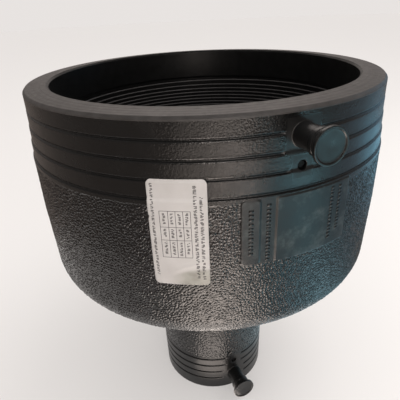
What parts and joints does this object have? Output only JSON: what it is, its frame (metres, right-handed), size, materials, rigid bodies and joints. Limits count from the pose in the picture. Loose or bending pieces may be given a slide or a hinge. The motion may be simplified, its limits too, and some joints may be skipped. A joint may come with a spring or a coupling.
{
  "type": "electrofusion reducer",
  "caption": "Black electrofusion pipe reducer with coaxial large and small sockets, wire heating coils, capped side terminals and fusion indicator pins.",
  "frame": {"origin": "centre of the small mouth's face, on the common axis of both sockets", "axes": "+Z along the common axis towards the large mouth; both terminals point along -Y"},
  "size_m": [0.2366, 0.2535, 0.265],
  "materials": {
    "pe_body": "moulded black polyethylene, fine and coarse grain, turned rim",
    "terminal_cap": "moulded, satin",
    "indicator": "moulded, satin",
    "terminal_brass": "turned",
    "heating_wire": "resistance wire under a thin plastic skin",
    "label_paper": "matt white sticker, printed in grey"
  },
  "bodies": {
    "fitting": {"body": "pe_body", "large_coil": "heating_wire", "small_coil": "heating_wire", "link_wire": "heating_wire", "large_lead_wire": "heating_wire", "small_lead_wire": "heating_wire", "large_terminal_pin": "terminal_brass", "small_terminal_pin": "terminal_brass", "label": "label_paper"},
    "large_cap": {"large_terminal_cap": "terminal_cap"},
    "small_cap": {"small_terminal_cap": "terminal_cap"},
    "large_indicator": {"large_fusion_indicator": "indicator"},
    "small_indicator": {"small_fusion_indicator": "indicator"}
  },
  "joints": [
    {"name": "large_cap_pull", "type": "slide", "parent": "fitting", "child": "large_cap", "axis": [0, -1, 0], "range_m": [0, 0.05]},
    {"name": "small_cap_pull", "type": "slide", "parent": "fitting", "child": "small_cap", "axis": [0, -1, 0], "range_m": [0, 0.05]},
    {"name": "large_indicator_rise", "type": "slide", "parent": "fitting", "child": "large_indicator", "axis": [0, -1, 0], "range_m": [0, 0.003]},
    {"name": "small_indicator_rise", "type": "slide", "parent": "fitting", "child": "small_indicator", "axis": [0, -1, 0], "range_m": [0, 0.003]}
  ]
}
